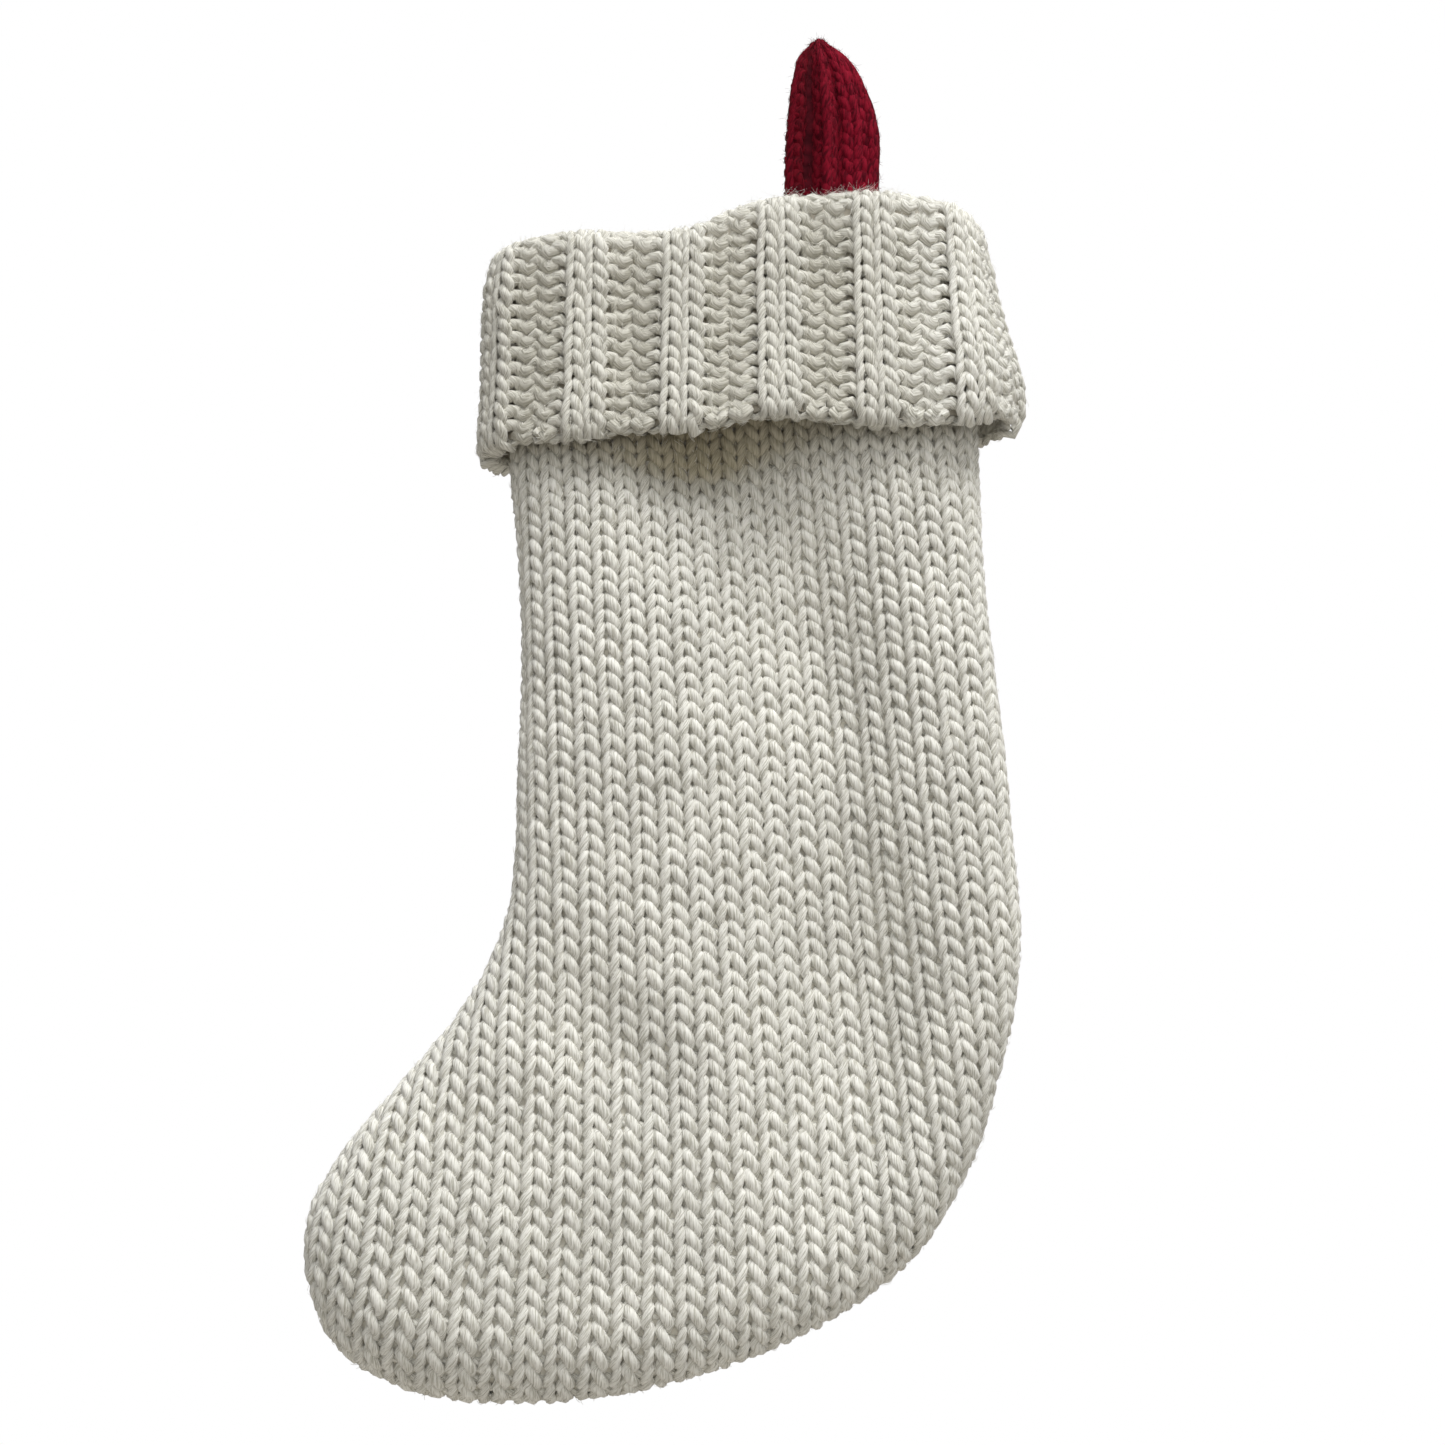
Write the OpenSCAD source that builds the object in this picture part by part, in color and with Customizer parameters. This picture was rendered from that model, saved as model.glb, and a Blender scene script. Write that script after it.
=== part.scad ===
// Knitted hanging stocking with a turned-down rib cuff and a strap loop.
// Millimetres. +Z is up, the toe points to -X and the front faces -Y.
// The origin is the inside top of the loop's eye, where a hook carries the stocking.

/* [Body] */
// Thickness of the knitted fabric
fabric_t = 6; // [4.5:0.5:6.5]
// Half of the body's depth, front to back
body_half_depth = 17; // [15:0.5:18]
// Distance over which the body rounds off at its edges
edge_round = 28; // [26:1:32]
// Height at which the leg panels meet the cuff band
join_z = -125; // [-130:1:-120]

/* [Cuff] */
// How far the flap's lower edge stands off the leg, in front and behind
flap_flare = 10; // [9:0.5:11]
// How much higher the back flap's lower edge hangs than the front one's
back_flap_lift = 8; // [0:1:10]
// Diameter of the cuff's side seams
side_seam_d = 3.6; // [2.5:0.1:4]

/* [Loop] */
// Thickness of the strap
strap_t = 4.6; // [4:0.1:5]
// Height of the line on which the strap bends, just above the cuff
bend_z = -59; // [-60:0.5:-58]
// Radius of the gathered bead of strap at that line
bead_r = 4.7; // [4.5:0.1:5]
// Free space between the bead and the tails below it
bend_gap = 0.3; // [0.2:0.05:0.5]

/* [Seams] */
// Diameter of the closing seam's ridge inside the body
closing_seam_d = 4.4; // [3:0.1:4.6]
// Diameter of the thread of the tack stitches
tack_thread_d = 1.2; // [0.8:0.1:1.4]

/* [Hidden] */

cream = "#e6e3d6";
cream_rib = "#e9e6da";
seam_cream = "#d8d3c2";
crimson = "#7d1228";
dark_red = "#5a0a20";

// Body outline from the join down to the sole: [height, left edge, right edge]
body_outline = [
    [-125, -124, 57.5], [-152, -124, 58], [-180, -123.5, 58.2], [-204, -120.7, 58.4],
    [-228, -118.6, 59.6], [-252, -117.6, 61.6], [-275, -118, 63.8], [-298, -118.3, 65.6],
    [-320, -118.4, 66.6], [-343, -120.3, 68.4], [-365, -127.3, 68.2], [-387, -140.5, 64.6],
    [-408, -158, 59], [-429, -175.5, 52.2], [-450, -188, 42], [-471, -190, 26.8],
    [-491, -183.8, -0.5], [-506, -171.5, -34], [-516, -150, -70], [-519.8, -128, -100]];
// Steps between two outline points
row_steps = 2;
// Columns across a panel
columns = 18;
// Height to which the body's side lines run on inside the cuff
outline_top_z = -60;

// Height of the fold that forms the mouth's rim: [x, height]
rim_curve = [[-124, -87], [-112, -85], [-98, -84.5], [-66, -84], [-45, -77.5], [-20, -70.5],
    [0, -68], [25, -67.5], [40, -69.5], [50, -73], [57.5, -77]];
// Height of the flap's lower edge in front: [x, height]
flap_curve = [[-124, -175], [-112, -176], [-98, -175.5], [-80, -172.5], [-46, -172], [-23, -167.5],
    [3, -168.5], [40, -168], [57.5, -161]];
// Band path, mouth side then outside, from the join over the rim to the flap's edge:
// [stand-off in front, at the left, at the right, share of the way from rim to edge, drop]
join_mark = -1;
outer_path = [[-1, -1, -1, join_mark, 0], [-1, -1, -1, join_mark, 0.5], [-1, -1, -1, 0, 14],
    [-0.83, -0.83, -0.83, 0, 6], [-0.35, -0.35, -0.35, 0, 1.5], [0.15, 0.4, 0.35, 0, 0],
    [0.5, 0.8, 0.7, 0, 2], [0.7, 0.95, 0.85, 0, 7], [0.75, 1.0, 0.9, 0, 14],
    [0.82, 1.02, 1.1, 0.42, 0], [0.92, 0.98, 1.5, 0.66, 0], [1, 1, 1.62, 0.82, 0],
    [1, 1.05, 1.5, 1, -5], [0.88, 0.95, 1.3, 1, -1]];
inner_path = [[0, 0, 0, join_mark, 0], [0, 0, 0, join_mark, 0.5], [0, 0, 0, 0, 15],
    [0, 0, 0, 0, 11], [0.03, 0.03, 0.03, 0, 8.5], [0.06, 0.15, 0.12, 0, 7.8],
    [0.09, 0.3, 0.25, 0, 8.5], [0.13, 0.4, 0.32, 0, 11], [0.17, 0.45, 0.36, 0, 15],
    [0.25, 0.48, 0.55, 0.42, 0], [0.33, 0.45, 0.95, 0.66, 0], [0.4, 0.47, 1.05, 0.82, 0],
    [0.42, 0.5, 0.95, 1, -5], [0.5, 0.6, 1, 1, -1]];
// Stand-off that a full step of the path means outside the body, in front and at the sides
side_flare = 12.5;

// Strap: [height, centre across, half width], and the legs' centre line: [height, half gap]
strap_outline = [[6.6, 0, 3.4], [4, -0.4, 4.6], [-2.7, -0.5, 10.3], [-9.3, 0.1, 13],
    [-16, 0.7, 14.9], [-29, 2.2, 17.6], [-42, 2.4, 18.8], [-56, 2, 18.6], [-130, 2, 18.2]];
strap_side = [[-58.5, 2.35], [-52, 2.9], [-44, 3.7], [-35, 4.9], [-25, 5.9], [-15, 6.4], [-8, 6.3]];
// Half height of the strap where it turns over the hook
strap_top_t = 6.4;
// Tails inside the mouth: [y, height] of the centre line
tail_path = [[0, -66], [0.6, -72], [2.6, -80], [5, -88], [6.3, -96], [6.5, -106], [6.5, -116]];
tails_t = 8.4;
tack_rows = [-101, -111];
tack_columns = 4;

// ---- curves ----
function lerp(a, b, t) = a + (b - a) * t;
function spline(a, b, c, d, t) =
    0.5 * (2 * b + (c - a) * t + (2 * a - 5 * b + 4 * c - d) * t * t
        + (3 * b - a - 3 * c + d) * t * t * t);
function clamp_index(points, i) = points[max(0, min(len(points) - 1, i))];
function smooth(points, steps) = [
    for (i = [0 : len(points) - 2]) for (k = [0 : steps - 1])
        spline(clamp_index(points, i - 1), points[i], points[i + 1], clamp_index(points, i + 2),
            k / steps),
    points[len(points) - 1]];
// Second value of a table of [x, value] at x, with x rising
function along(table, x) =
    x <= table[0][0] ? table[0][1] :
    x >= table[len(table) - 1][0] ? table[len(table) - 1][1] :
    let (i = max([for (k = [0 : len(table) - 2]) if (table[k][0] <= x) k]))
    lerp(table[i][1], table[i + 1][1], (x - table[i][0]) / (table[i + 1][0] - table[i][0]));
// The same for any column, with the first value falling
function down(table, z, col) =
    z >= table[0][0] ? table[0][col] :
    z <= table[len(table) - 1][0] ? table[len(table) - 1][col] :
    let (i = max([for (k = [0 : len(table) - 2]) if (table[k][0] >= z) k]))
    lerp(table[i][col], table[i + 1][col], (z - table[i][0]) / (table[i + 1][0] - table[i][0]));

// ---- body surface ----
rows = smooth(body_outline, row_steps);
last_row = len(rows) - 1;
side_line = concat([[rows[0][1], outline_top_z]], [for (r = rows) [r[1], r[0]]],
    [for (i = [last_row : -1 : 0]) [rows[i][2], rows[i][0]]], [[rows[0][2], outline_top_z]]);
function foot_on(p, a, b) = let (ab = b - a) a + max(0, min(1, ((p - a) * ab) / (ab * ab))) * ab;
function nearest(p) =
    let (feet = [for (i = [0 : len(side_line) - 2]) foot_on(p, side_line[i], side_line[i + 1])],
        gaps = [for (q = feet) norm(p - q)])
    feet[search(min(gaps), gaps)[0]];
// Point of the outer skin over [x, z] and the same point sunk by a depth along the normal
function skin(p, on_edge, towards, depth) =
    let (inside = on_edge ? p + 0.5 * (towards - p) / norm(towards - p) : p,
        foot = nearest(inside),
        inward = (inside - foot) / norm(inside - foot),
        c = on_edge ? 1 : 1 - min(norm(p - foot) / edge_round, 1),
        s = sqrt(1 - c * c),
        n = [c / edge_round, s / body_half_depth] / norm([c / edge_round, s / body_half_depth]))
    [p[0] + inward[0] * depth * n[0],
        -(body_half_depth * s - depth * n[1]),
        p[1] + inward[1] * depth * n[0]];
// Columns crowd towards the edges, where the skin turns
function column_share(j) = (1 - cos(180 * j / columns)) / 2;
function panel_row(i, depth) = [
    for (j = [0 : columns])
        let (p = [lerp(rows[i][1], rows[i][2], column_share(j)), rows[i][0]],
            towards = [(rows[i][1] + rows[i][2]) / 2, rows[i][0] + 20])
        skin(p, j == 0 || j == columns || i == last_row, towards, depth)];

// Closed solid between two grids of points, the first one on the outside
module shell(outside, inside) {
    nr = len(outside);
    nc = len(outside[0]);
    far = nr * nc;
    points = concat([for (r = outside) each r], [for (r = inside) each r]);
    skins = [for (i = [0 : nr - 2]) for (j = [0 : nc - 2])
        let (a = i * nc + j) each [
            [a, a + 1, a + nc + 1, a + nc],
            [far + a, far + a + nc, far + a + nc + 1, far + a + 1]]];
    sides = [for (i = [0 : nr - 2])
        let (a = i * nc, b = i * nc + nc - 1) each [
            [a, a + nc, far + a + nc, far + a],
            [b, far + b, far + b + nc, b + nc]]];
    ends = [for (j = [0 : nc - 2])
        let (a = j, b = (nr - 1) * nc + j) each [
            [a, far + a, far + a + 1, a + 1],
            [b, b + 1, far + b + 1, far + b]]];
    polyhedron(points, concat(skins, sides, ends), convexity = 8);
}

// Closed tube through rings of points
module tube(rings, joined = false) {
    sides = len(rings[0]);
    count = len(rings);
    walls = [for (i = [0 : count - (joined ? 1 : 2)]) for (j = [0 : sides - 1])
        let (a = i * sides, b = ((i + 1) % count) * sides, k = (j + 1) % sides)
        [a + j, b + j, b + k, a + k]];
    caps = joined ? [] : [[for (j = [0 : sides - 1]) j],
        [for (j = [sides - 1 : -1 : 0]) (count - 1) * sides + j]];
    polyhedron([for (r = rings) each r], concat(walls, caps), convexity = 8);
}

// ---- cuff band ----
quarter_steps = 7;
middle_steps = 8;
// Stations round half of the band: [share along the straight middle, angle of the rounded end]
stations = concat(
    [for (k = [0 : quarter_steps - 1]) [0, 90 * k / quarter_steps]],
    [for (k = [0 : middle_steps]) [k / middle_steps, 90]],
    [for (k = [quarter_steps - 1 : -1 : 0]) [1, 90 * k / quarter_steps]]);
band_left = rows[0][1];
band_right = rows[0][2];
function end_sign(st) = st[0] > 0.5 ? 1 : -1;
function band_x(st) =
    st[1] < 90 ? (st[0] < 0.5 ? band_left + edge_round * (1 - cos(st[1]))
        : band_right - edge_round * (1 - cos(st[1])))
    : lerp(band_left + edge_round, band_right - edge_round, st[0]);
function band_normal(st) =
    let (n = [end_sign(st) * cos(st[1]) / edge_round, -sin(st[1]) / body_half_depth]) n / norm(n);
function stand_off(st, step) =
    let (front = step[0] < 0 ? step[0] * fabric_t : step[0] * flap_flare,
        share = st[0] < 0.5 ? step[1] : step[2],
        end = share < 0 ? share * fabric_t : share * side_flare)
    lerp(front, end, cos(st[1]));
// The lift of the flap's edge fades out towards the side seams
function flap_z(st, lift) = along(flap_curve, band_x(st)) + lift * sin(st[1]);
function band_z(st, step, lift) =
    let (rim = along(rim_curve, band_x(st)), low = flap_z(st, lift))
    step[3] == join_mark ? lerp(join_z + bend_gap, rim - outer_path[2][4], step[4])
    : lerp(rim, low, step[3]) - step[4];
function band_point(st, step, lift) =
    let (n = band_normal(st), off = stand_off(st, step))
    [band_x(st) + n[0] * off, -body_half_depth * sin(st[1]) + n[1] * off, band_z(st, step, lift)];
module cuff_half(lift) {
    shell([for (step = outer_path) [for (st = stations) band_point(st, step, lift)]],
        [for (step = inner_path) [for (st = stations) band_point(st, step, lift)]]);
}
// Upright ridge inside the flap along a side seam
module side_seam(end, steps) {
    st = [end, 0];
    sides = 8;
    r = side_seam_d / 2;
    rings = [for (k = steps)
        let (q = band_point(st, inner_path[k], 0), x = q[0] - end_sign(st) * (r + bend_gap))
        [for (a = [0 : sides - 1]) [x + r * cos(360 * a / sides), r * sin(360 * a / sides), q[2]]]];
    tube([for (i = [len(rings) - 1 : -1 : 0]) rings[i]]);
}

// ---- strap ----
function strap_centre(z) = down(strap_outline, z, 1);
function strap_half(z) = down(strap_outline, z, 2);
turn_steps = 8;
top_z = strap_side[len(strap_side) - 1][0];
top_gap = strap_side[len(strap_side) - 1][1];
apex = strap_top_t / 2 - top_z;
// Centre line of the strap from the front base over the top to the back base: [y, z, angle, thickness]
strap_line = concat(
    [for (p = strap_side) [-p[1], p[0], 0, strap_t]],
    [for (k = [1 : turn_steps - 1]) let (a = 180 * k / turn_steps)
        [-top_gap * cos(a), top_z + apex * sin(a), a, lerp(strap_t, strap_top_t, sin(a))]],
    [for (i = [len(strap_side) - 1 : -1 : 0]) [strap_side[i][1], strap_side[i][0], 180, strap_t]]);
// Rounded flat section across the strap: [share of half width, share of half thickness]
strap_section = [[-0.86, -0.8], [-0.5, -1], [0, -1], [0.5, -1], [0.86, -0.8], [1, 0],
    [0.86, 0.8], [0.5, 1], [0, 1], [-0.5, 1], [-0.86, 0.8], [-1, 0]];
function strap_ring(p) =
    [for (q = strap_section)
        let (w = strap_half(p[1]), t = q[1] * p[3] / 2)
        [strap_centre(p[1]) + q[0] * w, p[0] - t * cos(p[2]), p[1] + t * sin(p[2])]];

// ---- sub-parts ----
module body_panel() {
    shell([for (i = [0 : last_row]) panel_row(i, 0)],
        [for (i = [0 : last_row]) panel_row(i, fabric_t)]);
}
module front_panel() {
    color(cream) body_panel();
}
module back_panel() {
    color(cream) mirror([0, 1, 0]) body_panel();
}
module closing_seam() {
    sides = 8;
    r = closing_seam_d / 2;
    depth = fabric_t + r + 2 * bend_gap;
    start = 1;
    left = [for (i = [start : last_row]) panel_row(i, depth)[0]];
    right = [for (i = [last_row : -1 : start]) panel_row(i, depth)[columns]];
    path = concat(left, right);
    count = len(path);
    rings = [for (i = [0 : count - 1])
        let (a = path[max(0, i - 1)], b = path[min(count - 1, i + 1)],
            way = [b[0] - a[0], b[2] - a[2]] / norm([b[0] - a[0], b[2] - a[2]]))
        [for (k = [0 : sides - 1]) let (u = r * cos(360 * k / sides), v = r * sin(360 * k / sides))
            [path[i][0] + way[1] * u, v, path[i][2] - way[0] * u]]];
    color(seam_cream) tube(rings);
}
module cuff_front() {
    color(cream_rib) cuff_half(0);
}
module cuff_back() {
    color(cream_rib) mirror([0, 1, 0]) cuff_half(back_flap_lift);
}
module cuff_seam_left() {
    color(seam_cream) side_seam(0, [8 : 12]);
}
module cuff_seam_right() {
    color(seam_cream) side_seam(1, [8 : 12]);
}
// Linking chain on the inside of the join, a flat ridge that runs all the way round
module cuff_join_seam() {
    ridge = [[-1, -2.2], [-1.1, -2.6], [-1.3, -1.6], [-1.35, 0], [-1.3, 1.6], [-1.1, 2.6], [-1, 2.2]];
    inset = 0.15;
    rings = concat(
        [for (st = stations) ridge_ring(st, ridge, inset, 1)],
        [for (i = [len(stations) - 2 : -1 : 1]) ridge_ring(stations[i], ridge, inset, -1)]);
    color(seam_cream) tube(rings, joined = true);
}
function ridge_ring(st, ridge, inset, side) =
    [for (q = ridge)
        let (n = band_normal(st), off = q[0] * fabric_t - inset)
        [band_x(st) + n[0] * off, side * (-body_half_depth * sin(st[1]) + n[1] * off), join_z + q[1]]];
// Strap above the bend, with the gathered bead that it bends on
module hang_loop() {
    color(crimson) union() {
        tube([for (i = [len(strap_line) - 1 : -1 : 0]) strap_ring(strap_line[i])]);
        translate([strap_centre(bend_z) - strap_half(bend_z), 0, bend_z]) rotate([0, 90, 0])
            cylinder(r = bead_r, h = 2 * strap_half(bend_z), $fn = 48);
    }
}
// The strap's two ends, laid together and sewn to the inside of the back band
module loop_tails() {
    path = smooth(tail_path, 2);
    top = bend_z - bead_r - bend_gap;
    count = len(path);
    rings = [for (i = [0 : count - 1])
        let (a = path[max(0, i - 1)], b = path[min(count - 1, i + 1)],
            way = (b - a) / norm(b - a),
            z = i == 0 ? top : path[i][1],
            tilt = i == 0 || i == count - 1 ? [0, -1] : way)
        [for (q = strap_section)
            let (t = q[1] * tails_t / 2)
            [strap_centre(z) + q[0] * strap_half(z), path[i][0] + t * tilt[1], z - t * tilt[0]]]];
    color(dark_red) tube([for (i = [count - 1 : -1 : 0]) rings[i]]);
}
// Slanting thread bars across the face of the tails, in two rows
module loop_tack_stitches() {
    bar = 9;
    lean = 25;
    face_y = tail_path[len(tail_path) - 1][0] - tails_t / 2 - tack_thread_d / 2 - 2 * bend_gap;
    pitch = 2 * strap_half(tack_rows[0]) / (tack_columns + 1);
    color("ivory") for (z = tack_rows) for (k = [1 : tack_columns])
        translate([strap_centre(z) - strap_half(z) + k * pitch, face_y, z]) rotate([0, lean, 0])
            cylinder(d = tack_thread_d, h = bar, center = true, $fn = 16);
}

front_panel();
back_panel();
closing_seam();
cuff_front();
cuff_back();
cuff_seam_left();
cuff_seam_right();
cuff_join_seam();
hang_loop();
loop_tails();
loop_tack_stitches();
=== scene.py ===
import math

import bpy
import numpy as np
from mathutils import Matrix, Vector


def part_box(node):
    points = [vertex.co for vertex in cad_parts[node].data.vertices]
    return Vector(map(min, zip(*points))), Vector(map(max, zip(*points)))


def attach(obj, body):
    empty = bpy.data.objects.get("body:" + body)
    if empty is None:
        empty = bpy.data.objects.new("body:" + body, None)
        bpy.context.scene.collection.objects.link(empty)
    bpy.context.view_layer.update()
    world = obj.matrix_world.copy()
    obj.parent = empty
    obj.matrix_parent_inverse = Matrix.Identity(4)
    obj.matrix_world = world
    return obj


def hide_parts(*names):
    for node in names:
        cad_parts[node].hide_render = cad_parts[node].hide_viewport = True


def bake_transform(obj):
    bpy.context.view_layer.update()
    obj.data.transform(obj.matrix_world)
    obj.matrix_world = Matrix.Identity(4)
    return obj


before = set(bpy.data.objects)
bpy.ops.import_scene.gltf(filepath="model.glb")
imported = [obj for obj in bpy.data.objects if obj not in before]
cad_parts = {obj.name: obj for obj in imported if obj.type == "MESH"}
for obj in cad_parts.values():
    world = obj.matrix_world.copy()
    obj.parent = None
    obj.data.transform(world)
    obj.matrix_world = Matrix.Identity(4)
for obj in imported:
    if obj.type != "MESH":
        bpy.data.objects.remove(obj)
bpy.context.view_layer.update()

TAU = 2 * math.pi
MM = 0.001
rng = np.random.default_rng(11)

# ---- sizes, as in the CAD design ----
FABRIC_T = 6.0
HALF_DEPTH = 17.0
EDGE_ROUND = 28.0
MID = 2.4               # depth of the yarn's middle under the outer skin
JOIN_Z = -125.0
FOOT_TOP = -330.0       # where the yarns of a panel are parted into leg and foot
BODY_OUTLINE = [  # height, left edge, right edge
    (-125, -124, 57.5), (-152, -124, 58), (-180, -123.5, 58.2), (-204, -120.7, 58.4),
    (-228, -118.6, 59.6), (-252, -117.6, 61.6), (-275, -118, 63.8), (-298, -118.3, 65.6),
    (-320, -118.4, 66.6), (-343, -120.3, 68.4), (-365, -127.3, 68.2), (-387, -140.5, 64.6),
    (-408, -158, 59), (-429, -175.5, 52.2), (-450, -188, 42), (-471, -190, 26.8),
    (-491, -183.8, -0.5), (-506, -171.5, -34), (-516, -150, -70), (-519.8, -128, -100)]
# Across and height of the rim and of the flap's edge
RIM = [(-124, -87), (-112, -85), (-98, -84.5), (-66, -84), (-52, -82.2), (-45, -78.2),
       (-35, -73.4), (-20, -70.5),
       (0, -68), (25, -67.5), (40, -69.5), (50, -73), (57.5, -77)]
FLAP_EDGE = [(-124, -173.5), (-112, -174.5), (-98, -174.5), (-80, -172.5), (-46, -172),
             (-23, -167.5), (3, -168.5), (40, -168), (57.5, -161)]
BACK_FLAP_LIFT = 8.0
FLAP_BULGE = 8.0        # how much further the flap stands off in the middle of the front
# Middle of the band, from the join up inside the mouth, over the rim and down to the curled edge:
# (stand-off in front, left and right, share of the way from rim to edge, drop from there).
# Where the share is JOIN, drop is the share of the way from the join up to BAND_TOP under the rim.
JOIN = -1
BAND_TOP = 14.5
BAND_PATH = [
    (-3, -3, -3, JOIN, 0), (-3, -3, -3, JOIN, 0.5), (-3, -3, -3, 0, 14.5),
    (-2.5, -2.5, -2.5, 0, 8.5), (-0.7, -0.8, -0.8, 0, 5), (1.6, 3.2, 1.8, 0, 3.9),
    (4, 6.4, 3.4, 0, 5.2), (5.4, 7.9, 4.2, 0, 9), (5.2, 8.6, 4.6, 0, 14.5),
    (4.6, 8.9, 8, 0.42, 0), (6, 8.6, 14, 0.66, 0), (7, 9, 16.4, 0.82, 0),
    (7, 9.5, 15.1, 1, -5), (6.4, 8.9, 14.1, 1, -1.6), (5.2, 7.4, 12.4, 1, -0.4),
    (4.2, 6, 11, 1, -2.2)]
STRAP_OUTLINE = [(6.6, 0, 3.4), (4, -0.4, 4.6), (-2.7, -0.5, 10.3), (-9.3, 0.1, 13),
                 (-16, 0.7, 14.9), (-29, 2.2, 17.6), (-42, 2.4, 18.8), (-56, 2, 18.6),
                 (-130, 2, 18.2)]  # height, centre across, half width

# ---- knit gauge ----
LOOP_LEAN = 1.45       # how far the legs of a stitch lean apart
LOOP_PINCH = 0.014     # how far they are drawn to the stitch's middle
LOOP_SHEAR = 0.14      # leaning of the whole stitch, from the yarn's twist
KNIT_REACH = 0.86      # half height of a loop, in rows, where its legs are in front
PURL_REACH = 1.33      # the same where its arcs are in front
LOOP_DEPTH = 1.35      # half depth of a loop
YARN_R = 1.98
YARN_FLAT = 0.77        # depth of a yarn for its width
SEGMENTS = 12
SIDES = 8


# ---- curves ----
def smooth(points, steps):
    """Catmull-Rom points through a table, with steps between two of its rows."""
    p = np.asarray(points, float)
    last = len(p) - 1
    t = np.arange(last * steps + 1) / steps
    i = np.minimum(t.astype(int), last - 1)
    f = (t - i)[:, None]
    a, b, c, d = p[np.maximum(i - 1, 0)], p[i], p[i + 1], p[np.minimum(i + 2, last)]
    return 0.5 * (2 * b + (c - a) * f + (2 * a - 5 * b + 4 * c - d) * f ** 2
                  + (3 * b - a - 3 * c + d) * f ** 3)


def along(table, x):
    """The other columns of a table, smoothed, where its first column is x."""
    p = smooth(table, 4)
    order = np.argsort(p[:, 0])
    return [np.interp(x, p[order, 0], p[order, k]) for k in range(1, p.shape[1])]


def unit(v):
    return v / np.maximum(np.linalg.norm(v, axis=-1, keepdims=True), 1e-9)


def arc_length(p):
    return np.concatenate([[0], np.cumsum(np.linalg.norm(np.diff(p, axis=0), axis=1))])


def resample(path, step):
    """Points along a path, a step apart, and how far along it they lie."""
    length = arc_length(path)
    s = np.arange(0, length[-1], step)
    return s, np.stack([np.interp(s, length, column) for column in path.T], 1)


# ---- the body's surface ----
SIDE_TOP = -60.0
body_rows = smooth(BODY_OUTLINE, 4)
side_line = np.concatenate([
    [[body_rows[0, 1], SIDE_TOP]], body_rows[:, [1, 0]],
    body_rows[::-1][:, [2, 0]], [[body_rows[0, 2], SIDE_TOP]]])
MID_ROUND = EDGE_ROUND - MID
MID_DEPTH = HALF_DEPTH - MID
edge_angle = np.linspace(0, math.pi / 2, 65)
edge_arc = arc_length(np.stack(
    [MID_ROUND * (1 - np.cos(edge_angle)), MID_DEPTH * np.sin(edge_angle)], 1))
EDGE_EXTRA = edge_arc[-1] - MID_ROUND  # cloth that the rounded edge takes up


def edge_distance(p):
    """Signed distance of flat points from the side line, the foot there and the way inward."""
    a, ab = side_line[:-1], np.diff(side_line, axis=0)
    t = np.clip(((p[:, None] - a) * ab).sum(2) / (ab ** 2).sum(1), 0, 1)
    feet = a + t[..., None] * ab
    gaps = ((p[:, None] - feet) ** 2).sum(2)
    near = gaps.argmin(1)
    foot = feet[np.arange(len(p)), near]
    normal = unit(np.stack([-ab[near, 1], ab[near, 0]], 1))
    side = np.where(((p - foot) * normal).sum(1) < 0, -1.0, 1.0)
    dist = np.sqrt(gaps[np.arange(len(p)), near])
    straight = side[:, None] * (p - foot) / np.maximum(dist, 1e-3)[:, None]
    inward = np.where(dist[:, None] > 1e-3, straight, normal)
    return side * dist, foot, inward


def body_surface(x, z, side):
    """Cloth at flat (x, z) laid on the body: place, outward normal, distance from the edge."""
    dist, foot, inward = edge_distance(np.stack([x, z], 1))
    arc = dist - MID + EDGE_EXTRA
    angle = np.interp(arc, edge_arc, edge_angle)
    depth = np.where(arc < 0, -0.9 * arc, MID_ROUND * (1 - np.cos(angle)))
    depth = np.where(arc > edge_arc[-1], dist - MID, depth) + MID
    flat = foot + inward * depth[:, None]
    out = unit(np.stack([np.cos(angle) / MID_ROUND, np.sin(angle) / MID_DEPTH], 1))
    place = np.stack([flat[:, 0], side * MID_DEPTH * np.sin(angle), flat[:, 1]], 1)
    normal = np.stack([-inward[:, 0] * out[:, 0], side * out[:, 1], -inward[:, 1] * out[:, 0]], 1)
    return place, normal, arc


def ripple(x, z, seed):
    """Gentle unevenness of hanging cloth, in millimetres."""
    return (0.5 * np.sin(x / 31 + seed) * np.sin(z / 47 + 2 * seed)
            + 0.3 * np.sin(x / 17 - z / 29 + seed) + 0.2 * np.sin(z / 13 + 3 * seed))


def bump_at(x, z, x0, z0, width, height):
    return np.exp(-((x - x0) / width) ** 2 - ((z - z0) / height) ** 2)


# Height, middle and depth of the long hollow down the front
VALLEY = [(-150, -18, 0), (-172, -18, 4), (-200, -17, 10.5), (-232, -11, 14.5), (-266, -4, 13.5),
          (-290, 0, 11.5), (-325, 3, 13), (-358, 6, 16), (-388, 8, 16), (-425, 8, 12.5),
          (-455, 4, 9), (-485, 2, 5), (-550, 0, 0)]


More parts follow.
